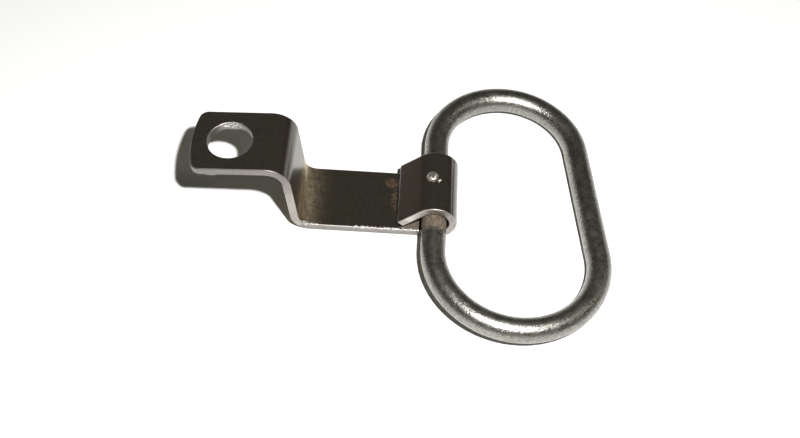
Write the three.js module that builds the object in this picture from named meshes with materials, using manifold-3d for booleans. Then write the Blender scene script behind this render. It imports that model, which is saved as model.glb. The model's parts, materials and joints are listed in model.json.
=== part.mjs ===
// Swivel hoist ring: a pressed strip bracket, the closed wire ring that swings
// in its curl, and the retaining stud set through the curl near its crest.
//
// Millimetres, +Z up.  +X runs from the bolt hole towards the ring, Y is across
// the strip, and z = 0 is the surface the part lies on.  The bracket's lower
// strap lies flat on that surface and the far side of the ring rests on it.

import * as THREE from 'three';
import { mergeVertices } from 'three/addons/utils/BufferGeometryUtils.js';
import Module from 'manifold-3d';

// ---------------------------------------------------------------- dimensions
const STRIP_W = 17.5;          // width of the strip, along Y
const STRIP_T = 2.0;           // thickness of the strip

const WIRE_D = 6.0;            // wire of the ring
// The ring is bent by hand over two formers, so one round end is a little wider
// than the other and the far side runs slightly askew to the near side.
const FRONT_R = 19.8;          // round end towards -Y, to the centre of the wire
const BACK_R = 17.8;           // round end towards +Y
const FRONT_Y = -16.2;         // middles of the two round ends, along Y
const BACK_Y = 15.2;
const RING_REACH = 2 * FRONT_R; // furthest the middle of the wire gets from the pivot

const BORE_R = 3.5;            // inside of the curl: 0.5 mm of play round the wire
const CURL_R = BORE_R + STRIP_T;
const LEAF_TURN = 132;         // degrees from +X at which the curl runs out straight
const LEAF_L = 7.0;            // straight leaf, down towards the strap again

const WEB_X = -32.2;           // right face of the web, carried down to the strap's top
const WEB_LEAN = 6.0;          // degrees from upright, away from the ring
const LOW_BEND_R = 3.0;        // inside radius, web to strap
const TOP_BEND_R = 3.8;        // inside radius, web to tab
const TAB_Z = 21.6;            // top of the tab, at the middle of the bolt hole
const TAB_DROOP = 3.0;         // degrees: the free end of the tab is the lower one
const HOLE_X = -48.6;          // middle of the bolt hole
const HOLE_D = 10.5;           // clearance hole for an M10 bolt
const TAB_END_X = -57.7;       // furthest point of the tab
const TAB_END_R = 30.0;        // the end is cut to a shallow arc
const TAB_CORNER_R = 2.2;      // and its two corners are rounded

const STUD_Y = 1.15;           // stud, a little off the middle of the strip
const STUD_LEAN = 9.4;         // degrees from upright, towards the leaf
const STUD_SHANK_R = 0.85;
const STUD_HOLE_R = 1.15;
const STUD_HEAD_R = 1.4;
const STUD_HEAD_H = 1.0;
const STUD_TIP_R = 2.85;       // tip of the stud, from the axis of the wire
const GROOVE_R = 2.45;         // shallow groove turned in the wire under the tip
const GROOVE_W = 3.2;

const rad = THREE.MathUtils.degToRad;

// The wire's axis in the curl is the pivot of the ring.
const PIVOT_Z = STRIP_T + BORE_R;
const RING_TILT = Math.asin((PIVOT_Z - WIRE_D / 2) / RING_REACH);
const RIGHT_X = RING_REACH * Math.cos(RING_TILT) + WIRE_D / 2;
const MID_X = (TAB_END_X + RIGHT_X) / 2; // middle of the whole length, from the pivot
const MID_Y = (FRONT_Y - FRONT_R + BACK_Y + BACK_R) / 2; // and of the whole width

// ------------------------------------------------------------------ booleans
const wasm = await Module();
wasm.setup();

function solid(geometry) {
  const g = geometry.clone();
  g.deleteAttribute('normal');
  g.deleteAttribute('uv');
  const m = mergeVertices(g, 1e-5);
  return new wasm.Manifold(new wasm.Mesh({
    numProp: 3,
    vertProperties: new Float32Array(m.attributes.position.array),
    triVerts: new Uint32Array(m.index.array),
  }));
}

function geometryOf(manifold) {
  const mesh = manifold.getMesh();
  const g = new THREE.BufferGeometry();
  g.setAttribute('position', new THREE.BufferAttribute(new Float32Array(mesh.vertProperties), 3));
  g.setIndex(new THREE.BufferAttribute(new Uint32Array(mesh.triVerts), 1));
  g.computeVertexNormals();
  return g;
}

// ------------------------------------------------------------------- bracket
// Side view of the strip: a path along its middle, from the free end of the
// tab to the free end of the leaf, offset half the thickness to each side.
function stripPath() {
  const half = STRIP_T / 2;
  const lean = rad(WEB_LEAN);
  const droop = rad(TAB_DROOP);

  // Directions of travel along the strip.
  const tabDir = new THREE.Vector2(Math.cos(droop), Math.sin(droop));
  const webDir = new THREE.Vector2(Math.sin(lean), -Math.cos(lean));
  const strapDir = new THREE.Vector2(1, 0);

  // Points on the three middle lines.
  const tabPoint = new THREE.Vector2(HOLE_X, TAB_Z)
    .add(new THREE.Vector2(tabDir.y, -tabDir.x).multiplyScalar(half));
  const webPoint = new THREE.Vector2(WEB_X, STRIP_T)
    .add(new THREE.Vector2(webDir.y, -webDir.x).multiplyScalar(half));
  const strapPoint = new THREE.Vector2(0, half);

  const cross = (a, b) => a.x * b.y - a.y * b.x;
  const meet = (p, u, q, v) => {
    const s = cross(q.clone().sub(p), v) / cross(u, v);
    return p.clone().addScaledVector(u, s);
  };

  // A bend of middle radius r about the corner of two lines.
  const bend = (corner, u, v, r, steps) => {
    const turn = Math.acos(THREE.MathUtils.clamp(u.dot(v), -1, 1));
    const sign = Math.sign(cross(u, v));
    const reach = r * Math.tan(turn / 2);
    const start = corner.clone().addScaledVector(u, -reach);
    const normal = new THREE.Vector2(-u.y, u.x).multiplyScalar(sign);
    const centre = start.clone().addScaledVector(normal, r);
    const out = [];
    for (let i = 0; i <= steps; i++) {
      const a = sign * turn * i / steps;
      const arm = start.clone().sub(centre).rotateAround(new THREE.Vector2(), a);
      out.push({
        p: centre.clone().add(arm),
        n: arm.clone().normalize().multiplyScalar(-sign),
      });
    }
    return out;
  };

  const stations = [];
  const straightNormal = (u) => new THREE.Vector2(-u.y, u.x);

  // Tab, carried past its end: the plan outline trims it.
  const tabStart = tabPoint.clone()
    .addScaledVector(tabDir, (TAB_END_X - 3 - HOLE_X) / tabDir.x);
  stations.push({ p: tabStart, n: straightNormal(tabDir) });

  const topCorner = meet(tabPoint, tabDir, webPoint, webDir);
  stations.push(...bend(topCorner, tabDir, webDir, TOP_BEND_R + half, 12));
  const lowCorner = meet(webPoint, webDir, strapPoint, strapDir);
  stations.push(...bend(lowCorner, webDir, strapDir, LOW_BEND_R + half, 10));

  // Curl, about the axis of the wire.
  const steps = 34;
  for (let i = 0; i <= steps; i++) {
    const a = rad(-90 + (LEAF_TURN + 90) * i / steps);
    const arm = new THREE.Vector2(Math.cos(a), Math.sin(a));
    stations.push({
      p: new THREE.Vector2(0, PIVOT_Z).addScaledVector(arm, BORE_R + half),
      n: arm.clone().multiplyScalar(-1),
    });
  }
  const out = rad(LEAF_TURN);
  const leafDir = new THREE.Vector2(-Math.sin(out), Math.cos(out));
  const last = stations[stations.length - 1];
  stations.push({ p: last.p.clone().addScaledVector(leafDir, LEAF_L), n: last.n.clone() });
  return stations;
}

function bracketSolid() {
  const stations = stripPath();
  const side = new THREE.Shape();
  const half = STRIP_T / 2;
  const left = stations.map((s) => s.p.clone().addScaledVector(s.n, half));
  const right = stations.map((s) => s.p.clone().addScaledVector(s.n, -half)).reverse();
  const outline = [...left, ...right];
  side.moveTo(outline[0].x, outline[0].y);
  for (const p of outline.slice(1)) side.lineTo(p.x, p.y);
  side.closePath();

  const strip = new THREE.ExtrudeGeometry(side, { depth: STRIP_W, bevelEnabled: false, steps: 1 });
  strip.rotateX(Math.PI / 2);
  strip.translate(0, STRIP_W / 2, 0);
  let body = solid(strip);

  // Plan outline of the strip: the arc end of the tab with its round corners.
  const h = STRIP_W / 2;
  const c = TAB_END_X + TAB_END_R;                 // middle of the end arc
  const ry = h - TAB_CORNER_R;                     // corner arc, middle
  const rx = c - Math.sqrt((TAB_END_R - TAB_CORNER_R) ** 2 - ry ** 2);
  const join = Math.atan2(ry, c - rx);             // where the two arcs meet
  const plan = new THREE.Shape();
  plan.moveTo(12, -h);
  plan.lineTo(12, h);
  plan.lineTo(rx, h);
  const cornerSteps = 6;
  for (let i = 1; i <= cornerSteps; i++) {
    const a = Math.PI / 2 + (Math.PI / 2 - join) * i / cornerSteps;
    plan.lineTo(rx + TAB_CORNER_R * Math.cos(a), ry + TAB_CORNER_R * Math.sin(a));
  }
  const endSteps = 8;
  for (let i = 1; i <= endSteps; i++) {
    const a = Math.PI - join + 2 * join * i / endSteps;
    plan.lineTo(c + TAB_END_R * Math.cos(a), TAB_END_R * Math.sin(a));
  }
  for (let i = 1; i < cornerSteps; i++) {
    const a = Math.PI + join + (Math.PI / 2 - join) * i / cornerSteps;
    plan.lineTo(rx + TAB_CORNER_R * Math.cos(a), -ry + TAB_CORNER_R * Math.sin(a));
  }
  plan.lineTo(rx, -h);
  plan.closePath();
  const blank = new THREE.ExtrudeGeometry(plan, { depth: 60, bevelEnabled: false, steps: 1 });
  blank.translate(0, 0, -10);
  body = body.intersect(solid(blank));

  // Bolt hole, square to the tab.
  const hole = new THREE.CylinderGeometry(HOLE_D / 2, HOLE_D / 2, 12, 48);
  hole.rotateX(Math.PI / 2);
  hole.rotateY(-rad(TAB_DROOP));
  hole.translate(HOLE_X, 0, TAB_Z);
  body = body.subtract(solid(hole));

  // Hole for the stud, through the curl beside its crest.
  const pin = new THREE.CylinderGeometry(STUD_HOLE_R, STUD_HOLE_R, 6, 20);
  pin.rotateX(Math.PI / 2);
  pin.translate(0, 0, CURL_R);
  pin.rotateY(-rad(STUD_LEAN));
  pin.translate(0, STUD_Y, PIVOT_Z);
  return body.subtract(solid(pin));
}

// ---------------------------------------------------------------------- ring
// Middle line of the wire: a belt round two circles of unlike radius, with the
// near straight on the pivot axis and the ring lying towards +X.
class RingPath extends THREE.Curve {
  constructor(endSteps, sideSteps) {
    super();
    const front = new THREE.Vector2(FRONT_R, FRONT_Y);
    const back = new THREE.Vector2(BACK_R, BACK_Y);
    const between = back.clone().sub(front);
    // Direction square to the far straight, pointing out of the ring.
    const far = between.angle() - Math.acos((FRONT_R - BACK_R) / between.length());
    const on = (c, r, a) => [c.x + r * Math.cos(a), c.y + r * Math.sin(a)];
    const pts = [];
    const run = (p, q) => {
      for (let i = 0; i < sideSteps; i++) {
        const f = i / sideSteps;
        pts.push([p[0] + (q[0] - p[0]) * f, p[1] + (q[1] - p[1]) * f]);
      }
    };
    run([0, BACK_Y], [0, FRONT_Y]);
    // The front end turns a quarter at a time, so that a vertex lies furthest
    // towards -Y and another furthest towards +X.
    const arc = (c, r, a0, a1, n) => {
      for (let i = 0; i < n; i++) pts.push(on(c, r, a0 + (a1 - a0) * i / n));
    };
    arc(front, FRONT_R, Math.PI, 1.5 * Math.PI, endSteps / 2);
    arc(front, FRONT_R, 1.5 * Math.PI, 2 * Math.PI, endSteps / 2);
    arc(front, FRONT_R, 2 * Math.PI, 2 * Math.PI + far, 1);
    run(on(front, FRONT_R, far), on(back, BACK_R, far));
    arc(back, BACK_R, far, Math.PI / 2, endSteps / 2);
    arc(back, BACK_R, Math.PI / 2, Math.PI, endSteps / 2);
    this.pts = pts.map(([x, y]) => new THREE.Vector3(x, y, 0));
    this.count = this.pts.length;
  }

  getPoint(t, target = new THREE.Vector3()) {
    const n = this.count;
    const s = ((t % 1) + 1) % 1 * n;
    const i = Math.floor(s + 1e-9) % n;
    const f = Math.max(0, s - Math.floor(s + 1e-9));
    return target.copy(this.pts[i]).lerp(this.pts[(i + 1) % n], f);
  }

  getPointAt(u, target) {
    return this.getPoint(u, target);
  }

  getTangentAt(u, target = new THREE.Vector3()) {
    const n = this.count;
    const i = Math.round(u * n) % n;
    return target.copy(this.pts[(i + 1) % n]).sub(this.pts[(i + n - 1) % n]).normalize();
  }

  getTangent(t, target) {
    return this.getTangentAt(t, target);
  }
}

function ringSolid() {
  const path = new RingPath(24, 4);
  const wire = solid(new THREE.TubeGeometry(path, path.count, WIRE_D / 2, 16, true));

  // The groove is a band taken off the wire all the way round.
  const band = new THREE.LatheGeometry([
    new THREE.Vector2(GROOVE_R, -GROOVE_W / 2),
    new THREE.Vector2(WIRE_D, -GROOVE_W / 2),
    new THREE.Vector2(WIRE_D, GROOVE_W / 2),
    new THREE.Vector2(GROOVE_R, GROOVE_W / 2),
    new THREE.Vector2(GROOVE_R, -GROOVE_W / 2),
  ], 24);
  band.translate(0, STUD_Y, 0);
  return wire.subtract(solid(band));
}

// ---------------------------------------------------------------------- stud
// Round head beside the crest of the curl, shank through the strip, flat tip.
function studGeometry() {
  const seat = CURL_R + 0.05;
  const profile = [new THREE.Vector2(0, STUD_TIP_R), new THREE.Vector2(STUD_SHANK_R, STUD_TIP_R),
    new THREE.Vector2(STUD_SHANK_R, seat), new THREE.Vector2(STUD_HEAD_R, seat)];
  const steps = 7;
  for (let i = 1; i < steps; i++) {
    const a = (Math.PI / 2) * i / steps;
    profile.push(new THREE.Vector2(STUD_HEAD_R * Math.cos(a), seat + STUD_HEAD_H * Math.sin(a)));
  }
  profile.push(new THREE.Vector2(0, seat + STUD_HEAD_H));
  const g = new THREE.LatheGeometry(profile, 20);
  g.rotateX(Math.PI / 2);
  return g;
}

// ------------------------------------------------------------------ assembly
const hoist = new THREE.Group();
hoist.position.set(-MID_X, -MID_Y, 0);

const bracket = new THREE.Mesh(
  geometryOf(bracketSolid()),
  new THREE.MeshStandardMaterial({ color: 0x5a534b, roughness: 0.22, metalness: 1.0 }),
);
bracket.name = 'bracket';
hoist.add(bracket);

const ring = new THREE.Mesh(
  geometryOf(ringSolid()),
  new THREE.MeshStandardMaterial({ color: 0x6d6963, roughness: 0.3, metalness: 1.0 }),
);
ring.name = 'ring';
ring.position.set(0, 0, PIVOT_Z);
ring.rotation.set(0, RING_TILT, 0);
hoist.add(ring);

const stud = new THREE.Mesh(
  studGeometry(),
  new THREE.MeshStandardMaterial({ color: 0xb9b4ac, roughness: 0.25, metalness: 1.0 }),
);
stud.name = 'retaining_stud';
stud.position.set(0, STUD_Y, PIVOT_Z);
stud.rotation.set(0, -rad(STUD_LEAN), 0);
hoist.add(stud);

export default hoist;
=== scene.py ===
# Looks of the swivel hoist ring: bracket, ring and stud as fine meshes with plated-steel
# materials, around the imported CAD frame.
import json
import math

import bpy
from mathutils import Matrix, Vector, noise
from mathutils.geometry import delaunay_2d_cdt


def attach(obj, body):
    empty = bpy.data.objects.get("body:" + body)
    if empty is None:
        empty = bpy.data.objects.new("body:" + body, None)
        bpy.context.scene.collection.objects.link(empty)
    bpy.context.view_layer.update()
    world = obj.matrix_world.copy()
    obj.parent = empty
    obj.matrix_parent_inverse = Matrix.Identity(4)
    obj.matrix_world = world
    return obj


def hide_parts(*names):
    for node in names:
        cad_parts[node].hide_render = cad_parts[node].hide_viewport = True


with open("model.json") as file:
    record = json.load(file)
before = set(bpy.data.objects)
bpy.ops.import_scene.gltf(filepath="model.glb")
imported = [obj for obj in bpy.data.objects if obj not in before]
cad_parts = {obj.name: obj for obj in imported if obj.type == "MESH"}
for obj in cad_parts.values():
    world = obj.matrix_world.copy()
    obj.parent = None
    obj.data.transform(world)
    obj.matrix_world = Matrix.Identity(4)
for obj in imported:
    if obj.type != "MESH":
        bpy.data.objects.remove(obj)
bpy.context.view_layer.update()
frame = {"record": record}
MM = 0.001

# ------------------------------------------------------------------ dimensions (mm)
W, T = 17.5, 1.98
H = W / 2
BORE_R = 3.5
WIRE_R = 2.985
FRONT_R, BACK_R = 19.8, 17.8          # the ring's two round ends, to the middle of the wire
FRONT_Y, BACK_Y = -16.2, 15.2
LEAF_TURN, LEAF_L = 132.0, 7.0
WEB_X, WEB_LEAN = -32.2, 6.0
LOW_R, TOP_R = 3.0, 3.8
TAB_Z, TAB_DROOP = 21.6, 3.0
HOLE_X, HOLE_R = -48.6, 5.25
TAB_END_X = -57.7
END_R, CORNER_R = 30.0, 2.2
STUD_Y = 1.15
STUD_LEAN = 9.4
STUD_HOLE_R, STUD_SHANK_R, STUD_HEAD_R, STUD_HEAD_H = 1.15, 0.85, 1.4, 1.0
STUD_TIP_R, GROOVE_R, GROOVE_W = 2.85, 2.45, 3.2

pivot = frame["record"]["behaviour"]["joints"][0]["pos_m"]
PX, PY, PZ = pivot[0] / MM, pivot[1] / MM, pivot[2] / MM
TILT = math.asin((PZ - 3.0) / (2 * FRONT_R))


def lerp(a, b, f):
    return a + (b - a) * f


def smooth(e0, e1, x):
    t = min(1.0, max(0.0, (x - e0) / (e1 - e0)))
    return t * t * (3 - 2 * t)


def new_object(name, verts, faces, mats, face_mat=None):
    me = bpy.data.meshes.new(name)
    me.from_pydata([tuple(c * MM for c in v) for v in verts], [], faces)
    for m in mats:
        me.materials.append(m)
    if face_mat:
        me.polygons.foreach_set("material_index", face_mat)
    me.polygons.foreach_set("use_smooth", [True] * len(me.polygons))
    me.validate()
    me.update()
    ob = bpy.data.objects.new(name, me)
    bpy.context.scene.collection.objects.link(ob)
    return ob


# ------------------------------------------------------------------ the strip's path
class Strip:
    """Maps the flat blank (u along, v across, w through) to the bent strip."""

    def __init__(self):
        half = 1.0
        td, wd = math.radians(TAB_DROOP), math.radians(WEB_LEAN)
        tab = Vector((math.cos(td), math.sin(td)))
        web = Vector((math.sin(wd), -math.cos(wd)))
        strap = Vector((1.0, 0.0))
        tp = Vector((HOLE_X, TAB_Z)) + Vector((tab.y, -tab.x)) * half
        wp = Vector((WEB_X, 2.0)) + Vector((web.y, -web.x)) * half
        sp = Vector((0.0, half))

        def cross(a, b):
            return a.x * b.y - a.y * b.x

        def meet(p, a, q, b):
            return p + a * (cross(q - p, b) / cross(a, b))

        def bend(corner, a, b, r):
            turn = math.acos(max(-1, min(1, a.dot(b))))
            sign = 1.0 if cross(a, b) > 0 else -1.0
            start = corner - a * (r * math.tan(turn / 2))
            centre = start + Vector((-a.y, a.x)) * sign * r
            return start, centre, sign, turn, r

        b1 = bend(meet(tp, tab, wp, web), tab, web, TOP_R + half)
        b2 = bend(meet(wp, web, sp, strap), web, strap, LOW_R + half)

        start = tp + tab * ((TAB_END_X + 0.08 - HOLE_X) / tab.x)
        self.segs = []
        self.len = 0.0

        def line(p, q):
            self.segs.append(("line", self.len, p.copy(), (q - p).normalized()))
            self.len += (q - p).length

        def arc(c, p, sign, turn):
            self.segs.append(("arc", self.len, c.copy(), (p - c), sign))
            self.len += (p - c).length * turn

        def arc_end(b):
            s, c, sign, turn, r = b
            d = s - c
            a = sign * turn
            return c + Vector((d.x * math.cos(a) - d.y * math.sin(a), d.x * math.sin(a) + d.y * math.cos(a)))

        self.u_hole = (tp - start).length
        line(start, b1[0])
        self.u_b1 = self.len
        arc(b1[1], b1[0], b1[2], b1[3])
        self.u_b1e = self.len
        line(arc_end(b1), b2[0])
        self.u_b2 = self.len
        arc(b2[1], b2[0], b2[2], b2[3])
        self.u_b2e = self.len
        axis = Vector((0.0, 2.0 + BORE_R))
        foot = axis + Vector((0.0, -(BORE_R + half)))
        line(arc_end(b2), foot)
        self.u_curl = self.len
        arc(axis, foot, 1.0, math.radians(LEAF_TURN + 90))
        self.u_leaf = self.len
        self.u_stud = self.u_curl + (BORE_R + half) * (math.pi + math.radians(STUD_LEAN))
        a = math.radians(LEAF_TURN)
        out = Vector((-math.sin(a), math.cos(a)))
        e = axis + Vector((math.cos(a), math.sin(a))) * (BORE_R + half)
        line(e, e + out * LEAF_L)

    def at(self, u, w):
        seg = self.segs[0]
        for s in self.segs:
            if u >= s[1] - 1e-9:
                seg = s
        d = u - seg[1]
        if seg[0] == "line":
            p = seg[2] + seg[3] * d
            n = Vector((-seg[3].y, seg[3].x))
        else:
            arm, sign = seg[3], seg[4]
            a = sign * d / arm.length
            arm = Vector((arm.x * math.cos(a) - arm.y * math.sin(a), arm.x * math.sin(a) + arm.y * math.cos(a)))
            p = seg[2] + arm
            n = -arm.normalized() * sign
        return p + n * w

    def xyz(self, u, v, w):
        p = self.at(u, w)
        return (p.x + PX, v + PY, p.y)


strip = Strip()
L = strip.len


def u_lines():
    """Where the blank is cut across: fine in the bends, wider on the flats."""
    marks = [(0.0, strip.u_b1, 0.55), (strip.u_b1, strip.u_b1e, 0.28), (strip.u_b1e, strip.u_b2, 0.55),
             (strip.u_b2, strip.u_b2e, 0.24), (strip.u_b2e, strip.u_curl, 0.3), (strip.u_curl, strip.u_leaf, 0.26),
             (strip.u_leaf, L, 0.45)]
    out = []
    for a, b, step in marks:
        n = max(2, round((b - a) / step))
        out += [a + (b - a) * i / n for i in range(n)]
    return out + [L]


US = u_lines()
R2 = 0.5  # corners of the leaf's end
RV = H - CORNER_R
RU = END_R - math.sqrt((END_R - CORNER_R) ** 2 - RV ** 2)
JOIN = math.atan2(RV, END_R - RU)


def blank(off):
    """The outline of the blank, moved inwards by off."""
    pts = []
    rc, re, r2 = CORNER_R - off, END_R - off, R2 - off
    n = 14
    for i in range(n + 1):  # back corner, from the side round to the end
        a = math.pi / 2 + (math.pi / 2 - JOIN) * i / n
        pts.append((RU + rc * math.cos(a), RV + rc * math.sin(a)))
    n = 34
    for i in range(1, n):
        a = math.pi - JOIN + 2 * JOIN * i / n
        pts.append((END_R + re * math.cos(a), re * math.sin(a)))
    n = 14
    for i in range(n + 1):
        a = math.pi + JOIN + (math.pi / 2 - JOIN) * i / n
        pts.append((RU + rc * math.cos(a), -RV + rc * math.sin(a)))
    side = [u for u in US if RU + 0.2 < u < L - R2 - 0.1]
    pts += [(u, -(H - off)) for u in side]
    n = 6
    for i in range(n + 1):
        a = -math.pi / 2 + math.pi / 2 * i / n
        pts.append((L - R2 + r2 * math.cos(a), -(H - R2) + r2 * math.sin(a)))
    n = 34
    for i in range(1, n):
        pts.append((L - off, -(H - R2) + 2 * (H - R2) * i / n))
    n = 6
    for i in range(n + 1):
        a = math.pi / 2 * i / n
        pts.append((L - R2 + r2 * math.cos(a), (H - R2) + r2 * math.sin(a)))
    pts += [(u, H - off) for u in reversed(side)]
    return pts


def ring_loop(cu, cv, r, n):
    return [(cu + r * math.cos(2 * math.pi * i / n), cv + r * math.sin(2 * math.pi * i / n)) for i in range(n)]


def build_bracket(mats):
    re_, rh = 0.30, 0.22         # rounding of the sheared edges, and of the punched hole
    holes = [(strip.u_hole, 0.0, HOLE_R, 120), (strip.u_stud, STUD_Y, STUD_HOLE_R, 40)]

    loops = [blank(re_)] + [ring_loop(cu, cv, r + rh, n) for cu, cv, r, n in holes]
    pts, edges = [], []
    starts = []
    for lp in loops:
        s = len(pts)
        starts.append(s)
        pts += lp
        edges += [(s + i, s + (i + 1) % len(lp)) for i in range(len(lp))]
    # supporting loops just inside, so that the flats stay flat up to the rounding
    for lp in [blank(re_ + 0.16)] + [ring_loop(cu, cv, r + rh + 0.14, n) for cu, cv, r, n in holes]:
        pts += lp
    nv = 36
    for u in US:
        for j in range(1, nv):
            v = -H + W * j / nv
            if u < re_ + 0.35 or u > L - re_ - 0.35 or abs(v) > H - re_ - 0.34:
                continue
            if u < RU + 0.1:
                if math.hypot(u - END_R, v) > END_R - re_ - 0.34:
                    continue
                if abs(v) > RV and math.hypot(u - RU, abs(v) - RV) > CORNER_R - re_ - 0.3:
                    continue
            if any(math.hypot(u - cu, v - cv) < r + rh + 0.3 for cu, cv, r, n in holes):
                continue
            pts.append((u, v))
    out_v, _, out_f, orig_v, _, _ = delaunay_2d_cdt([Vector(p) for p in pts], edges, [], 0, 1e-7)
    index = {}
    for i, o in enumerate(orig_v):
        for k in o:
            index[k] = i

    def in_hole(f):
        cu = sum(out_v[i].x for i in f) / len(f)
        cv = sum(out_v[i].y for i in f) / len(f)
        return any(math.hypot(cu - a, cv - b) < r + rh - 1e-4 for a, b, r, n in holes)

    tris = [f for f in out_f if not in_hole(f)]
    flat = [(p.x, p.y) for p in out_v]
    nflat = len(flat)

    # waves left by the press, so that reflections run unevenly over the flats
    def wave(u, v, seed):
        a = noise.noise(Vector((u * 0.13, v * 0.16, seed))) * 0.030
        b = noise.noise(Vector((u * 0.45, v * 0.5, seed + 7))) * 0.006
        edge = min(1.0, max(0.0, (H - abs(v)) / 1.6))
        return (a + b) * edge - 0.02 * (1 - edge) ** 2

    def burr(u, v):
        """Raised lip round the top of the punched hole, highest at the back."""
        d = math.hypot(u - strip.u_hole, v) - HOLE_R
        if d > 0.9:
            return 0.0
        ang = math.atan2(v, u - strip.u_hole)
        back = 0.5 + 0.5 * math.sin(ang)
        rag = 0.5 + 0.9 * noise.noise(Vector((math.cos(ang) * 5.5, math.sin(ang) * 5.5, 3.1)))
        return (0.05 + 0.12 * back * rag) * math.exp(-((d - 0.12) / 0.22) ** 2)

    def lip(u, v):
        """Ragged lip of torn plate along the upper front edge of the strap."""
        x = u - strip.u_curl
        where = max(smooth(-23.0, -18.0, x) * (1 - smooth(-2.6, -1.2, x)), smooth(-30.4, -29.8, x) * (1 - smooth(-28.2, -27.4, x)))
        if where <= 0 or v > -(H - 0.62):
            return 0.0
        rag = noise.noise(Vector((u * 1.9, 2.0, 4.7))) + 0.6 * noise.noise(Vector((u * 4.3, 7.0, 1.7)))
        return 0.20 * where * min(1.0, max(0.0, rag * 1.7 - 0.10)) * math.exp(-((abs(v) - (H - 0.26)) / 0.16) ** 2)

    verts, faces, fmat = [], [], []

    def add(u, v, w):
        verts.append(strip.xyz(u, v, w))
        return len(verts) - 1

    top = [add(u, v, T / 2 + min(0.0, wave(u, v, 1.0)) * 1.0 + burr(u, v) + lip(u, v)) for u, v in flat]
    bot = [add(u, v, -T / 2 + max(0.0, -wave(u, v, 9.0)) * (1.0 if u < strip.u_curl else 0.5)) for u, v in flat]
    for f in tris:
        a, b, c = f
        area = (flat[b][0] - flat[a][0]) * (flat[c][1] - flat[a][1]) - (flat[b][1] - flat[a][1]) * (flat[c][0] - flat[a][0])
        if area < 0:
            a, b, c = a, c, b
        faces.append((top[a], top[b], top[c]))
        fmat.append(0)
        faces.append((bot[a], bot[c], bot[b]))
        fmat.append(0)

    def wall(start, count, place, inside, mat, radius, burr_amp, wob):
        """The edge of the strip, from the top flat over its rounding, down the cut, to the bottom flat."""
        rows = [[top[index[start + i]] for i in range(count)]]
        prof = []
        q = 5
        for k in range(1, q + 1):
            a = math.pi / 2 * k / q
            prof.append((radius * (1 - math.sin(a)), T / 2 - radius * (1 - math.cos(a)), k / q))
        for k in range(1, 9):
            prof.append((0.0, T / 2 - radius - (T - 2 * radius) * k / 9, 1.0))
        for k in range(q, 0, -1):
            a = math.pi / 2 * k / q
            prof.append((radius * (1 - math.sin(a)), -T / 2 + radius * (1 - math.cos(a)), k / q))
        for off, w, weight in prof:
            row = []
            for i in range(count):
                u, v, nu, nv_ = place(i, off)
                z = w / T + 0.5
                rough = noise.noise(Vector((u * 1.7, v * 1.7, w * 3.0))) * wob
                tear = noise.noise(Vector((u * 5.0, v * 5.0, 0.3))) * burr_amp * math.exp(-((w - (T / 2 - radius)) / 0.16) ** 2)
                lean = -0.05 * z if mat == 1 else 0.0
                d = (-abs(rough) + min(0.0, tear)) * weight + lean * weight * 0.4
                up = lip(u, v) * weight if w > 0.4 and mat == 1 and burr_amp < 0.055 else 0.0
                row.append(add(u + nu * d, v + nv_ * d, w + up))
            rows.append(row)
        rows.append([bot[index[start + i]] for i in range(count)])
        for r0, r1 in zip(rows, rows[1:]):
            for i in range(count):
                j = (i + 1) % count
                if inside:
                    faces.append((r0[i], r0[j], r1[j], r1[i]))
                else:
                    faces.append((r0[j], r0[i], r1[i], r1[j]))
                fmat.append(mat)

    o_full, o_in = blank(0.0), blank(re_)

    def outer(i, off):
        f = off / re_
        a, b = o_full[i], o_in[i]
        du, dv = a[0] - b[0], a[1] - b[1]
        m = math.hypot(du, dv) or 1.0
        return lerp(a[0], b[0], f), lerp(a[1], b[1], f), du / m, dv / m

    wall(starts[0], len(loops[0]), outer, False, 1, re_, 0.05, 0.018)
    for k, (cu, cv, r, n) in enumerate(holes):
        def inner(i, off, cu=cu, cv=cv, r=r, n=n):
            a = 2 * math.pi * i / n
            return cu + (r + off) * math.cos(a), cv + (r + off) * math.sin(a), -math.cos(a), -math.sin(a)
        wall(starts[k + 1], n, inner, True, 1 if k == 0 else 0, rh, 0.06 if k == 0 else 0.0, 0.02 if k == 0 else 0.0)

    return new_object("bracket_strip", verts, faces, mats, fmat)


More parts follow.
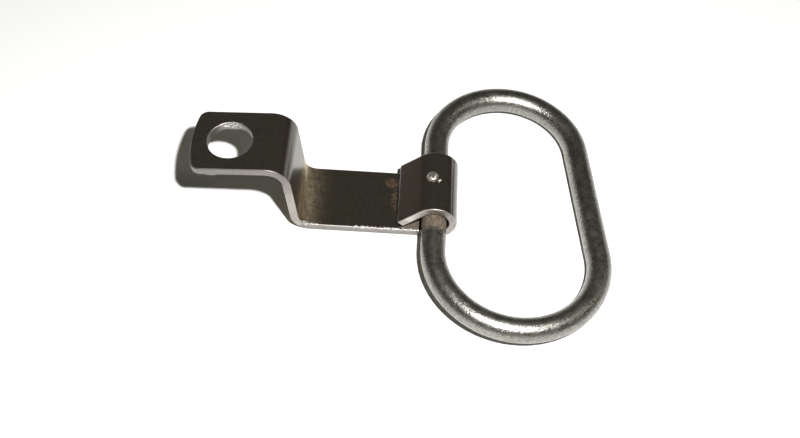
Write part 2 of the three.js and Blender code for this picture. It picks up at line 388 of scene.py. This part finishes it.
# ------------------------------------------------------------------ ring
def build_ring(mats):
    pts = []                               # x, y, and the way the wire runs there
    fx, bx = FRONT_R, BACK_R
    dx, dy = bx - fx, BACK_Y - FRONT_Y
    far = math.atan2(dy, dx) - math.acos((FRONT_R - BACK_R) / math.hypot(dx, dy))

    # near side, with close sections over the groove
    g0, g1 = STUD_Y + 2.2, STUD_Y - 2.2
    ys = [lerp(BACK_Y, g0, i / 16) for i in range(16)]
    ys += [lerp(g0, g1, i / 44) for i in range(44)]
    ys += [lerp(g1, FRONT_Y, i / 18) for i in range(18)]
    for y in ys:
        pts.append((0.0, y, 0.0, -1.0, 0.0))

    def arc(cx, cy, r, a0, a1, n):
        for i in range(n):
            a = lerp(a0, a1, i / n)
            pts.append((cx + r * math.cos(a), cy + r * math.sin(a), -math.sin(a), math.cos(a), 1.0))

    arc(fx, FRONT_Y, FRONT_R, math.pi, 2 * math.pi + far, 104)
    p = (fx + FRONT_R * math.cos(far), FRONT_Y + FRONT_R * math.sin(far))
    q = (bx + BACK_R * math.cos(far), BACK_Y + BACK_R * math.sin(far))
    for i in range(40):
        pts.append((lerp(p[0], q[0], i / 40), lerp(p[1], q[1], i / 40), -math.sin(far), math.cos(far), 0.0))
    arc(bx, BACK_Y, BACK_R, far, math.pi, 92)

    seg = 56
    ca, sa = math.cos(TILT), math.sin(TILT)
    verts, faces = [], []
    for k, (x, y, tx, ty, bent) in enumerate(pts):
        nx, ny = ty, -tx                   # outwards from the ring, in its plane
        r0 = WIRE_R
        if abs(x) < 1e-6:
            d = abs(y - STUD_Y)
            r0 = lerp(GROOVE_R, WIRE_R, smooth(GROOVE_W / 2 - 0.12, GROOVE_W / 2 + 0.1, d))
        for j in range(seg):
            a = 2 * math.pi * j / seg
            c, s = math.cos(a), math.sin(a)
            p = Vector((x * 0.35, y * 0.35, c + 0.6 * s))
            r = r0 - 0.022 * (0.5 + 0.5 * noise.noise(p)) - 0.02 * bent * max(0.0, -c) ** 2
            lx, ly, lz = x + nx * r * c, y + ny * r * c, r * s
            verts.append((PX + lx * ca + lz * sa, PY + ly, PZ - lx * sa + lz * ca))
    n = len(pts)
    for k in range(n):
        for j in range(seg):
            a, b = k * seg + j, k * seg + (j + 1) % seg
            c, d = ((k + 1) % n) * seg + (j + 1) % seg, ((k + 1) % n) * seg + j
            faces.append((a, d, c, b))
    return new_object("wire_ring", verts, faces, mats)


# ------------------------------------------------------------------ stud
def build_stud(mats):
    """An upset head that hugs the crest of the curl, its shank and its flat tip."""
    n = 64
    rows = []
    crest = BORE_R + 2.0

    def seat(x):
        return math.sqrt(max(0.0, crest ** 2 - x * x)) + 0.03

    def ring_row(fn):
        row = []
        for i in range(n):
            a = 2 * math.pi * i / n
            row.append(fn(math.cos(a), math.sin(a)))
        rows.append(row)

    for r in (0.25, 0.5, STUD_SHANK_R - 0.08):
        ring_row(lambda c, s, r=r: (r * c, r * s, STUD_TIP_R))
    ring_row(lambda c, s: (STUD_SHANK_R * c, STUD_SHANK_R * s, STUD_TIP_R + 0.08))
    for k in range(1, 8):
        z = lerp(STUD_TIP_R + 0.08, crest - 0.12, k / 7)
        ring_row(lambda c, s, z=z: (STUD_SHANK_R * c, STUD_SHANK_R * s, z))
    for k in range(1, 5):
        r = lerp(STUD_SHANK_R + 0.04, STUD_HEAD_R * 0.96, k / 4)
        ring_row(lambda c, s, r=r: (r * c, r * s, seat(r * c) + 0.02))

    def dome(x, y):
        """The hammered top of the head: nearly flat, with a swelling to one side and a ridge to the other."""
        d = min(1.0, math.hypot(x, y) / STUD_HEAD_R)
        top = 0.62 * math.sqrt(max(0.0, 1 - d ** 4))
        top += 0.16 * math.exp(-((x + 0.62) ** 2 + (y + 0.42) ** 2) / 0.34) * (1 - d ** 4)
        top += 0.24 * math.exp(-((x - 0.72) ** 2 / 0.07 + (y - 0.18) ** 2 / 0.42)) * (1 - d ** 6)
        top -= 0.10 * math.exp(-((x - 0.12) ** 2 / 0.10 + (y - 0.15) ** 2 / 0.6))
        return (top + 0.05 * noise.noise(Vector((x * 2.3, y * 2.3, 5.0))) * (1 - d)) * STUD_HEAD_H

    for k in range(0, 22):
        t = k / 22
        r = STUD_HEAD_R * math.cos(math.pi / 2 * t)
        ring_row(lambda c, s, r=r: (r * c, r * s, seat(r * c) + 0.04 + dome(r * c * 0.999, r * s * 0.999)))
    cl, sl = math.cos(math.radians(STUD_LEAN)), math.sin(math.radians(STUD_LEAN))

    def set_in(x, y, z):
        """From the stud's own upright frame to the part's."""
        return (x * cl - z * sl + PX, y + STUD_Y + PY, x * sl + z * cl + PZ)

    verts = [set_in(*q) for row in rows for q in row]
    faces = []
    for k in range(len(rows) - 1):
        for i in range(n):
            j = (i + 1) % n
            faces.append((k * n + i, k * n + j, (k + 1) * n + j, (k + 1) * n + i))
    b = len(verts)
    verts.append(set_in(0, 0, STUD_TIP_R))
    verts.append(set_in(0, 0, seat(0) + 0.04 + dome(0, 0)))
    last = (len(rows) - 1) * n
    for i in range(n):
        j = (i + 1) % n
        faces.append((b, j, i))
        faces.append((b + 1, last + i, last + j))

    # a fleck of metal thrown off the head when it was upset, on the curl beside it
    fx, fy, fr = 1.66, -1.05, 0.52
    m = 20
    s0 = len(verts)
    verts.append(set_in(fx, fy, seat(fx) - 0.18))
    for k in range(1, 12):
        t = math.pi * k / 12
        for i in range(m):
            a = 2 * math.pi * i / m
            r = fr * math.sin(t) * (1 + 0.16 * noise.noise(Vector((math.cos(a), math.sin(a), 2.0))))
            x, y = fx + r * math.cos(a), fy + r * 0.85 * math.sin(a)
            verts.append(set_in(x, y, seat(fx) + 0.10 - 0.28 * math.cos(t)))
    verts.append(set_in(fx, fy, seat(fx) + 0.38))
    for i in range(m):
        j = (i + 1) % m
        faces.append((s0, s0 + 1 + j, s0 + 1 + i))
        for k in range(10):
            c = s0 + 1 + k * m
            faces.append((c + i, c + j, c + m + j, c + m + i))
        c = s0 + 1 + 10 * m
        faces.append((s0 + 1 + 11 * m, c + i, c + j))
    return new_object("peened_stud", verts, faces, mats)


# ------------------------------------------------------------------ materials
class Nodes:
    def __init__(self, name):
        self.mat = bpy.data.materials.new(name)
        self.mat.use_nodes = True
        self.t = self.mat.node_tree
        self.t.nodes.clear()
        self.out = self.t.nodes.new("ShaderNodeOutputMaterial")
        self.bsdf = self.t.nodes.new("ShaderNodeBsdfPrincipled")
        self.link(self.bsdf.outputs[0], self.out.inputs[0])
        self.coord = self.t.nodes.new("ShaderNodeTexCoord").outputs["Object"]

    def link(self, a, b):
        self.t.links.new(a, b)

    def put(self, socket, value):
        if isinstance(value, bpy.types.NodeSocket):
            self.link(value, socket)
        else:
            socket.default_value = value

    def math(self, op, a, b=None, c=None, clamp=False):
        n = self.t.nodes.new("ShaderNodeMath")
        n.operation = op
        n.use_clamp = clamp
        for i, v in enumerate((a, b, c)):
            if v is not None:
                self.put(n.inputs[i], v)
        return n.outputs[0]

    def mapping(self, scale=(1, 1, 1), loc=(0, 0, 0), rot=(0, 0, 0)):
        n = self.t.nodes.new("ShaderNodeMapping")
        self.link(self.coord, n.inputs[0])
        n.inputs["Scale"].default_value = scale
        n.inputs["Location"].default_value = loc
        n.inputs["Rotation"].default_value = rot
        return n.outputs[0]

    def noise(self, scale, detail=4.0, rough=0.5, vec=None, dist=0.0):
        n = self.t.nodes.new("ShaderNodeTexNoise")
        self.link(vec or self.coord, n.inputs["Vector"])
        n.inputs["Scale"].default_value = scale
        n.inputs["Detail"].default_value = detail
        n.inputs["Roughness"].default_value = rough
        n.inputs["Distortion"].default_value = dist
        return n.outputs["Fac"]

    def voronoi(self, scale, feature="F1", vec=None, rand=1.0):
        n = self.t.nodes.new("ShaderNodeTexVoronoi")
        n.feature = feature
        self.link(vec or self.coord, n.inputs["Vector"])
        n.inputs["Scale"].default_value = scale
        n.inputs["Randomness"].default_value = rand
        return n.outputs["Distance"]

    def ramp(self, fac, stops, mode="LINEAR"):
        n = self.t.nodes.new("ShaderNodeValToRGB")
        self.link(fac, n.inputs[0])
        cr = n.color_ramp
        cr.interpolation = mode
        while len(cr.elements) < len(stops):
            cr.elements.new(0.5)
        for e, (p, c) in zip(cr.elements, stops):
            e.position = p
            e.color = (*c, 1) if len(c) == 3 else c
        return n.outputs[0]

    def range(self, v, a, b, c=0.0, d=1.0, kind="SMOOTHSTEP"):
        n = self.t.nodes.new("ShaderNodeMapRange")
        n.interpolation_type = kind
        self.put(n.inputs["Value"], v)
        for k, x in (("From Min", a), ("From Max", b), ("To Min", c), ("To Max", d)):
            n.inputs[k].default_value = x
        return n.outputs[0]

    def mix(self, fac, a, b, mode="MIX"):
        n = self.t.nodes.new("ShaderNodeMix")
        n.data_type = "RGBA"
        n.blend_type = mode
        self.put(n.inputs[0], fac)
        for i, v in ((6, a), (7, b)):
            if isinstance(v, bpy.types.NodeSocket):
                self.link(v, n.inputs[i])
            else:
                n.inputs[i].default_value = (*v, 1)
        return n.outputs[2]

    def mixf(self, fac, a, b):
        n = self.t.nodes.new("ShaderNodeMix")
        n.data_type = "FLOAT"
        self.put(n.inputs[0], fac)
        self.put(n.inputs[2], a)
        self.put(n.inputs[3], b)
        return n.outputs[0]

    def bump(self, height, strength, distance, normal=None):
        n = self.t.nodes.new("ShaderNodeBump")
        n.inputs["Strength"].default_value = strength
        n.inputs["Distance"].default_value = distance
        self.link(height, n.inputs["Height"])
        if normal:
            self.link(normal, n.inputs["Normal"])
        return n.outputs[0]

    def xyz(self):
        n = self.t.nodes.new("ShaderNodeSeparateXYZ")
        self.link(self.coord, n.inputs[0])
        return n.outputs

    def blob(self, centre, size):
        """1 at a place on the part (metres), falling to 0 at size (mm, per axis)."""
        s = [1 / (q * MM) for q in size]
        v = self.mapping(scale=s, loc=[-c * k for c, k in zip(centre, s)])
        n = self.t.nodes.new("ShaderNodeVectorMath")
        n.operation = "LENGTH"
        self.link(v, n.inputs[0])
        return self.range(n.outputs["Value"], 0.0, 1.0, 1.0, 0.0)

    def done(self, color, rough, normal=None, metallic=1.0):
        self.put(self.bsdf.inputs["Base Color"], color)
        self.put(self.bsdf.inputs["Roughness"], rough)
        self.put(self.bsdf.inputs["Metallic"], metallic)
        if normal:
            self.link(normal, self.bsdf.inputs["Normal"])
        return self.mat


def rel(x, y, z):
    """A place in metres given in mm from the pivot's x."""
    return ((x + PX) * MM, (y + PY) * MM, z * MM)


def plated_strip():
    m = Nodes("plated_strip")
    big = m.noise(60, 3, 0.5)
    fine = m.noise(900, 5, 0.6)
    grain = m.noise(4200, 3, 0.6)
    lines = m.noise(220, 3, 0.6, m.mapping(scale=(1.0, 14.0, 1.0)))
    tone = m.ramp(big, [(0.3, (0.40, 0.365, 0.325)), (0.7, (0.355, 0.325, 0.29))])
    tone = m.mix(m.range(fine, 0.42, 0.72), tone, (0.29, 0.262, 0.232))
    # thin, tarnished plate in the hollow of the lower bend
    hollow = m.blob(rel(-31.4, 0, 3.2), (7.6, 42, 7.4))
    gold = m.math("MULTIPLY", hollow, m.range(m.noise(700, 5, 0.7), 0.30, 0.60, 0.50, 1.0), clamp=True)
    sand = m.noise(2300, 5, 0.7)
    tone = m.mix(gold, tone, m.ramp(sand, [(0.36, (0.43, 0.35, 0.25)), (0.53, (0.60, 0.495, 0.335)), (0.66, (0.95, 0.78, 0.47))]))
    # painted shade: the web is coloured darker than the flats; it is also rougher
    web = m.blob(rel(-33.0, 0, 13.0), (6.5, 42, 13.0))
    web = m.range(web, 0.0, 0.5)
    tone = m.mix(m.math("MULTIPLY", web, m.math("SUBTRACT", 1.0, gold)), tone, (0.150, 0.138, 0.125))
    # rust by the end of the leaf, and inside the mouth of the curl
    r1 = m.blob(rel(-9.0, 0.2, 2.0), (2.9, 7.4, 1.8))
    r2 = m.blob(rel(-10.6, 5.4, 2.0), (3.2, 2.8, 1.8))
    r3 = m.blob(rel(-3.8, -7.6, 3.2), (8.0, 4.2, 3.0))
    r4 = m.blob(rel(1.5, -8.4, 8.2), (4.6, 2.4, 2.6))
    spots = m.range(m.noise(1100, 6, 0.72), 0.40, 0.62)
    near = m.range(m.math("MAXIMUM", r1, r2), 0.0, 0.75)
    # it thins out into very fine specks towards its border
    heart = m.math("MULTIPLY", m.range(near, 0.05, 0.95), m.range(spots, 0.0, 1.0, 0.45, 1.0), clamp=True)
    dull = m.math("GREATER_THAN", m.math("MULTIPLY", heart, 0.62), m.range(m.noise(6500, 1, 0.5), 0.28, 0.72, 0.04, 1.0, "LINEAR"))
    deep = m.math("MAXIMUM", r3, m.math("MULTIPLY", r4, spots), clamp=True)
    deep = m.math("GREATER_THAN", deep, 0.26)
    rust = m.math("MAXIMUM", dull, deep)
    rust_tone = m.ramp(m.noise(2400, 5, 0.65), [(0.40, (0.048, 0.030, 0.019)), (0.54, (0.080, 0.042, 0.022)), (0.66, (0.165, 0.072, 0.030))])
    tone = m.mix(dull, tone, rust_tone)
    deep_tone = m.ramp(m.noise(2100, 5, 0.6), [(0.35, (0.058, 0.046, 0.033)), (0.7, (0.15, 0.122, 0.09))])
    tone = m.mix(deep, tone, deep_tone)
    x, y, z = m.xyz()
    # painted shade: the outer right side of the curl is coloured darker, standing in for the dark surroundings it
    # reflects
    out = m.math("MULTIPLY", m.range(x, (PX + 3.7) * MM, (PX + 4.5) * MM), m.math("SUBTRACT", 1.0, deep), clamp=True)
    tone = m.mix(out, tone, (0.15, 0.139, 0.126))
    rough = m.range(big, 0.3, 0.7, 0.15, 0.19, "LINEAR")
    rough = m.math("ADD", rough, m.range(fine, 0.45, 0.75, 0.0, 0.05, "LINEAR"))
    rough = m.mixf(web, rough, 0.30)
    rough = m.mixf(gold, rough, 0.46)
    rough = m.mixf(rust, rough, 0.88)
    metal = m.math("SUBTRACT", 1.0, rust, clamp=True)
    # torn plate standing up along the strap's front edge
    side = m.range(y, (PY - 8.35) * MM, (PY - 7.95) * MM, 1.0, 0.0)
    side = m.math("MULTIPLY", side, m.range(z, 2.6 * MM, 3.2 * MM, 1.0, 0.0))
    side = m.math("MULTIPLY", side, m.range(m.math("MAXIMUM", m.blob(rel(-11.5, -8.75, 1.9), (12.0, 3.0, 4.0)), m.blob(rel(-30.2, -8.75, 2.6), (3.5, 3.0, 4.0))), 0.05, 0.4), clamp=True)
    torn = m.math("MULTIPLY", side, m.range(m.noise(1500, 3, 0.7), 0.51, 0.57), clamp=True)
    tone = m.mix(torn, tone, (0.80, 0.79, 0.77))
    metal = m.mixf(torn, metal, 0.15)
    rough = m.mixf(torn, rough, 0.5)
    h = m.math("ADD", m.math("MULTIPLY", fine, 0.5), m.math("MULTIPLY", lines, 0.5))
    n = m.bump(h, 0.10, 0.00004)
    n = m.bump(grain, 0.10, 0.00002, n)
    n = m.bump(m.math("MULTIPLY", sand, gold), 0.45, 0.00006, n)
    n = m.bump(m.math("MULTIPLY", m.noise(2600, 5, 0.65), m.math("MAXIMUM", heart, deep)), 0.6, 0.00010, n)
    return m.done(tone, rough, n, metal)


def sheared_edge():
    m = Nodes("sheared_edge")
    x, y, z = m.xyz()
    big = m.noise(160, 3, 0.5)
    streak = m.noise(700, 4, 0.6, m.mapping(scale=(3.0, 3.0, 0.5)))
    grain = m.noise(3600, 4, 0.65)
    tone = m.ramp(big, [(0.3, (0.44, 0.412, 0.388)), (0.7, (0.36, 0.336, 0.315))])
    tone = m.mix(m.range(streak, 0.5, 0.75), tone, (0.29, 0.268, 0.248))
    # bright torn metal: along the strap's upper edge, and round the back of the punched hole
    lip = m.range(z, 1.35 * MM, 1.75 * MM)
    lip = m.math("MULTIPLY", lip, m.range(z, 2.4 * MM, 3.0 * MM, 1.0, 0.0))
    along = m.math("MAXIMUM", m.blob(rel(-12.5, -8.75, 1.9), (14.0, 3.0, 4.0)), m.blob(rel(-31.0, -8.75, 2.6), (4.5, 3.0, 4.0)))
    lip = m.math("MULTIPLY", lip, m.range(along, 0.02, 0.30), clamp=True)
    flecks = m.range(m.noise(1900, 4, 0.7), 0.54, 0.62)
    torn = m.math("MULTIPLY", lip, flecks, clamp=True)
    rim = m.blob(rel(-49.2, 5.6, 21.3), (5.2, 1.7, 2.2))
    torn = m.math("MAXIMUM", torn, m.math("MULTIPLY", m.range(rim, 0.05, 0.35), m.range(m.noise(1500, 4, 0.7), 0.46, 0.58), clamp=True))
    tone = m.mix(torn, tone, (0.78, 0.765, 0.74))
    r3 = m.blob(rel(-1.5, -8.75, 10.0), (5.2, 1.4, 2.0))
    r5 = m.blob(rel(-8.5, 0.0, 7.0), (3.0, 9.5, 4.0))
    rust = m.math("MULTIPLY", m.math("MAXIMUM", r3, m.math("MULTIPLY", r5, 0.8)), m.range(m.noise(1400, 5, 0.7), 0.50, 0.62), clamp=True)
    tone = m.mix(rust, tone, (0.14, 0.07, 0.035))
    # painted shade: the tab's edges, up off the floor, are darkened, standing in for the shadow under the tab that
    # they reflect
    tab_edge_shade = m.range(z, 12 * MM, 19 * MM, 0.0, 0.62)
    tone = m.mix(m.math("MULTIPLY", tab_edge_shade, m.math("SUBTRACT", 1.0, torn)), tone, (0.18, 0.165, 0.155))
    # painted shade: the bottom of the strap's edge, next to the floor, is darkened
    floor_edge_shade = m.math("MULTIPLY", m.range(z, 1.2 * MM, 2.1 * MM, 0.75, 0.0), m.math("SUBTRACT", 1.0, torn), clamp=True)
    tone = m.mix(floor_edge_shade, tone, (0.23, 0.215, 0.20))
    # painted reflection: the front edge of the leaf is lightened, standing in for the lit floor it reflects
    leaf_edge_light = m.range(m.blob(rel(-5.2, -8.75, 8.6), (6.4, 1.6, 4.4)), 0.05, 0.5)
    tone = m.mix(m.math("MULTIPLY", leaf_edge_light, m.math("SUBTRACT", 1.0, rust), clamp=True), tone, (0.62, 0.585, 0.55))
    rough = m.range(streak, 0.3, 0.7, 0.34, 0.52, "LINEAR")
    rough = m.mixf(rust, rough, 0.8)
    metal = m.range(m.math("MAXIMUM", torn, rust), 0.2, 0.7, 1.0, 0.15)
    n = m.bump(streak, 0.35, 0.0001)
    n = m.bump(grain, 0.35, 0.00005, n)
    n = m.bump(torn, 0.5, 0.0001, n)
    return m.done(tone, rough, n, metal)


def plated_wire():
    m = Nodes("plated_wire")
    big = m.noise(90, 3, 0.5)
    fine = m.noise(1000, 5, 0.62)
    sand = m.noise(2100, 3, 0.8)
    speck = m.noise(2900, 3, 0.7)
    coarse = m.noise(420, 4, 0.6)
    pits = m.voronoi(1500)
    tone = m.ramp(big, [(0.3, (0.352, 0.341, 0.318)), (0.7, (0.29, 0.28, 0.257))])
    tone = m.mix(m.range(fine, 0.40, 0.74), tone, (0.238, 0.228, 0.205))
    tone = m.mix(m.range(speck, 0.50, 0.66, 0.0, 0.85), tone, (0.15, 0.138, 0.113))
    tone = m.mix(m.range(speck, 0.36, 0.46, 0.6, 0.0), tone, (0.46, 0.452, 0.43))
    worn = m.range(pits, 0.0, 0.20, 1.0, 0.0)
    worn = m.math("MULTIPLY", worn, m.range(m.noise(260, 3, 0.5), 0.40, 0.58))
    tone = m.mix(m.math("MULTIPLY", worn, 0.7), tone, (0.14, 0.12, 0.09))
    # rust where the wire turns in the mouth of the curl, either side
    ragged = m.math("MULTIPLY", m.math("SUBTRACT", m.noise(700, 5, 0.75), 0.5), 2.2)
    fr = m.math("ADD", m.blob(rel(0.4, -9.2, 7.6), (6.6, 4.6, 6.4)), m.math("MULTIPLY", ragged, m.blob(rel(0.4, -9.2, 7.6), (9.0, 6.4, 9.0))))
    bk = m.math("ADD", m.blob(rel(0, 9.2, 6.2), (5.0, 2.2, 5.0)), ragged)
    back_here = m.math("GREATER_THAN", m.blob(rel(0, 9.4, 6.2), (6, 3, 6)), 0.05)
    dull = m.math("MAXIMUM", m.math("GREATER_THAN", fr, 0.20), m.math("MULTIPLY", m.math("GREATER_THAN", bk, 0.45), back_here), clamp=True)
    heart = m.math("MULTIPLY", m.range(fr, 0.22, 0.58), m.range(m.noise(1000, 6, 0.7), 0.34, 0.56, 0.25, 1.0), clamp=True)
    rust_tone = m.ramp(m.noise(2200, 5, 0.7), [(0.36, (0.066, 0.047, 0.031)), (0.53, (0.125, 0.090, 0.060)), (0.66, (0.33, 0.262, 0.19))])
    rust_tone = m.mix(heart, (0.045, 0.041, 0.033), rust_tone)
    tone = m.mix(dull, tone, rust_tone)
    rough = m.range(big, 0.3, 0.7, 0.205, 0.255, "LINEAR")
    rough = m.math("ADD", rough, m.range(speck, 0.40, 0.66, 0.0, 0.20, "LINEAR"))
    rough = m.math("ADD", rough, m.range(coarse, 0.35, 0.65, -0.03, 0.07, "LINEAR"))
    rough = m.mixf(dull, rough, 0.84)
    metal = m.math("SUBTRACT", 1.0, dull, clamp=True)
    n = m.bump(fine, 0.5, 0.00010)
    n = m.bump(sand, 0.8, 0.00011, n)
    n = m.bump(m.math("MULTIPLY", worn, -1.0), 0.5, 0.00006, n)
    return m.done(tone, rough, n, metal)


def bright_stud():
    m = Nodes("bright_stud")
    big = m.noise(900, 3, 0.5)
    fine = m.noise(3000, 4, 0.6)
    tone = m.ramp(big, [(0.38, (0.64, 0.612, 0.57)), (0.62, (0.46, 0.43, 0.385))])
    tone = m.mix(m.range(fine, 0.55, 0.75), tone, (0.36, 0.32, 0.27))
    rough = m.range(fine, 0.35, 0.7, 0.38, 0.56, "LINEAR")
    n = m.bump(m.noise(1200, 3, 0.5), 0.35, 0.0002)
    n = m.bump(fine, 0.3, 0.00006, n)
    return m.done(tone, rough, n)


def floor_paper():
    m = Nodes("pale_floor")
    tone = m.ramp(m.noise(3.0, 3, 0.5), [(0.3, (0.86, 0.86, 0.855)), (0.7, (0.88, 0.88, 0.875))])
    m.bsdf.inputs["Specular IOR Level"].default_value = 0.1
    n = m.bump(m.noise(900, 3, 0.5), 0.05, 0.0001)
    return m.done(tone, 0.9, n, 0.0)


# ------------------------------------------------------------------ pieces
bracket = build_bracket([plated_strip(), sheared_edge()])
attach(bracket, "bracket")
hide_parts("bracket")

ring = build_ring([plated_wire()])
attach(ring, "ring")
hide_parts("ring")

stud = build_stud([bright_stud()])
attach(stud, "bracket")
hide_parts("retaining_stud")

# ------------------------------------------------------------------ stage
floor_me = bpy.data.meshes.new("floor")
S, NF = 0.6, 96
floor_me.from_pydata([(S * math.cos(2 * math.pi * i / NF), S * math.sin(2 * math.pi * i / NF), -0.00002) for i in range(NF)],
                     [], [tuple(range(NF))])
floor_me.materials.append(floor_paper())
floor = bpy.data.objects.new("floor", floor_me)
bpy.context.scene.collection.objects.link(floor)

# ------------------------------------------------------------------ camera
CAM = dict(x=-8.40, y=-163.18, z=220.79, yaw=0.09, pitch=-54.22, roll=3.48, f=1109.06, px=400.0, py=219.0)
yw, pt, rl = (math.radians(CAM[k]) for k in ("yaw", "pitch", "roll"))
fwd = Vector((math.sin(yw) * math.cos(pt), math.cos(yw) * math.cos(pt), math.sin(pt)))
right = Vector((math.cos(yw), -math.sin(yw), 0))
up = right.cross(fwd)
r2 = right * math.cos(rl) + up * math.sin(rl)
u2 = up * math.cos(rl) - right * math.sin(rl)
cam_data = bpy.data.cameras.new("camera")
cam = bpy.data.objects.new("camera", cam_data)
bpy.context.scene.collection.objects.link(cam)
loc = Vector(((CAM["x"] + PX) * MM, (CAM["y"] + PY) * MM, CAM["z"] * MM))
cam.matrix_world = Matrix(((r2.x, u2.x, -fwd.x, loc.x), (r2.y, u2.y, -fwd.y, loc.y), (r2.z, u2.z, -fwd.z, loc.z), (0, 0, 0, 1)))
cam_data.sensor_width = 36
cam_data.sensor_fit = "HORIZONTAL"
cam_data.lens = CAM["f"] / 800 * 36
cam_data.shift_x = (400 - CAM["px"]) / 800
cam_data.shift_y = (CAM["py"] - 219) / 800
cam_data.clip_start = 0.005
cam_data.clip_end = 50
bpy.context.scene.camera = cam

# ------------------------------------------------------------------ light
KEY = 18.6


key_data = bpy.data.lights.new("key", "POINT")
key_data.energy = 1.0
key_data.shadow_soft_size = 0.0055
key_data.color = (1.0, 1.0, 0.99)
key_data.use_nodes = True
kt = key_data.node_tree
kt.nodes.clear()
ko = kt.nodes.new("ShaderNodeOutputLight")
ke = kt.nodes.new("ShaderNodeEmission")
kf = kt.nodes.new("ShaderNodeLightFalloff")
kf.inputs["Strength"].default_value = KEY
kt.links.new(kf.outputs["Linear"], ke.inputs["Strength"])
kt.links.new(ke.outputs[0], ko.inputs[0])
key = bpy.data.objects.new("key", key_data)
bpy.context.scene.collection.objects.link(key)
key.location = loc + (r2 * 42 + u2 * 41) * MM

# a weak soft light from the right
side_data = bpy.data.lights.new("side", "SUN")
side_data.energy = 0.16
side_data.angle = math.radians(9)
side_data.color = (1.0, 1.0, 0.84)
side = bpy.data.objects.new("side", side_data)
bpy.context.scene.collection.objects.link(side)
side.rotation_euler = Vector((0.74, 0.09, 0.67)).to_track_quat("Z", "Y").to_euler()

world = bpy.data.worlds.new("room")
bpy.context.scene.world = world
world.use_nodes = True
wt = world.node_tree
wt.nodes.clear()
wo = wt.nodes.new("ShaderNodeOutputWorld")
bg = wt.nodes.new("ShaderNodeBackground")
wt.links.new(bg.outputs[0], wo.inputs[0])
tc = wt.nodes.new("ShaderNodeTexCoord")
sep = wt.nodes.new("ShaderNodeSeparateXYZ")
wt.links.new(tc.outputs["Generated"], sep.inputs[0])
ramp = wt.nodes.new("ShaderNodeValToRGB")
half_up = wt.nodes.new("ShaderNodeMath")
half_up.operation = "MULTIPLY_ADD"
half_up.inputs[1].default_value = 0.5
half_up.inputs[2].default_value = 0.5
wt.links.new(sep.outputs[2], half_up.inputs[0])
wt.links.new(half_up.outputs[0], ramp.inputs[0])
stops = [(0.0, (0.85, 0.85, 0.84)), (0.495, (0.85, 0.85, 0.84)), (0.505, (0.085, 0.077, 0.060)), (0.60, (0.050, 0.048, 0.037)), (0.72, (0.037, 0.037, 0.027)), (1.0, (0.034, 0.034, 0.025))]
while len(ramp.color_ramp.elements) < len(stops):
    ramp.color_ramp.elements.new(0.5)
for e, (p, c) in zip(ramp.color_ramp.elements, stops):
    e.position = p
    e.color = (*c, 1)
# a paler wall behind the part, which its flats reflect
lobe = wt.nodes.new("ShaderNodeMapRange")
lobe.interpolation_type = "SMOOTHSTEP"
for key_, v_ in (("From Min", 0.27), ("From Max", 0.52), ("To Min", 0.0), ("To Max", 1.0)):
    lobe.inputs[key_].default_value = v_
wt.links.new(sep.outputs[1], lobe.inputs["Value"])
wall = wt.nodes.new("ShaderNodeValToRGB")
wall.color_ramp.elements[0].position = 0.56
wall.color_ramp.elements[0].color = (0.064, 0.050, 0.037, 1)
wall.color_ramp.elements[1].position = 0.72
wall.color_ramp.elements[1].color = (0.084, 0.081, 0.066, 1)
wt.links.new(half_up.outputs[0], wall.inputs[0])
above = wt.nodes.new("ShaderNodeMath")
above.operation = "GREATER_THAN"
above.inputs[1].default_value = 0.0
wt.links.new(sep.outputs[2], above.inputs[0])
behind = wt.nodes.new("ShaderNodeMath")
behind.operation = "MULTIPLY"
wt.links.new(lobe.outputs[0], behind.inputs[0])
wt.links.new(above.outputs[0], behind.inputs[1])
wall_mix = wt.nodes.new("ShaderNodeMix")
wall_mix.data_type = "RGBA"
wt.links.new(wall.outputs[0], wall_mix.inputs[7])
wt.links.new(behind.outputs[0], wall_mix.inputs[0])
wt.links.new(ramp.outputs[0], wall_mix.inputs[6])
# the room is dim, and what the camera sees of it past the floor is the same pale tone as the floor
seen = wt.nodes.new("ShaderNodeMix")
seen.data_type = "RGBA"
seen.inputs[7].default_value = (0.90, 0.90, 0.895, 1)
wt.links.new(wt.nodes.new("ShaderNodeLightPath").outputs["Is Camera Ray"], seen.inputs[0])
wt.links.new(wall_mix.outputs[2], seen.inputs[6])
wt.links.new(seen.outputs[2], bg.inputs[0])
bg.inputs[1].default_value = 1.0

bpy.context.scene.view_settings.view_transform = "Standard"

# ------------------------------------------------------------------ the end
bpy.context.view_layer.update()
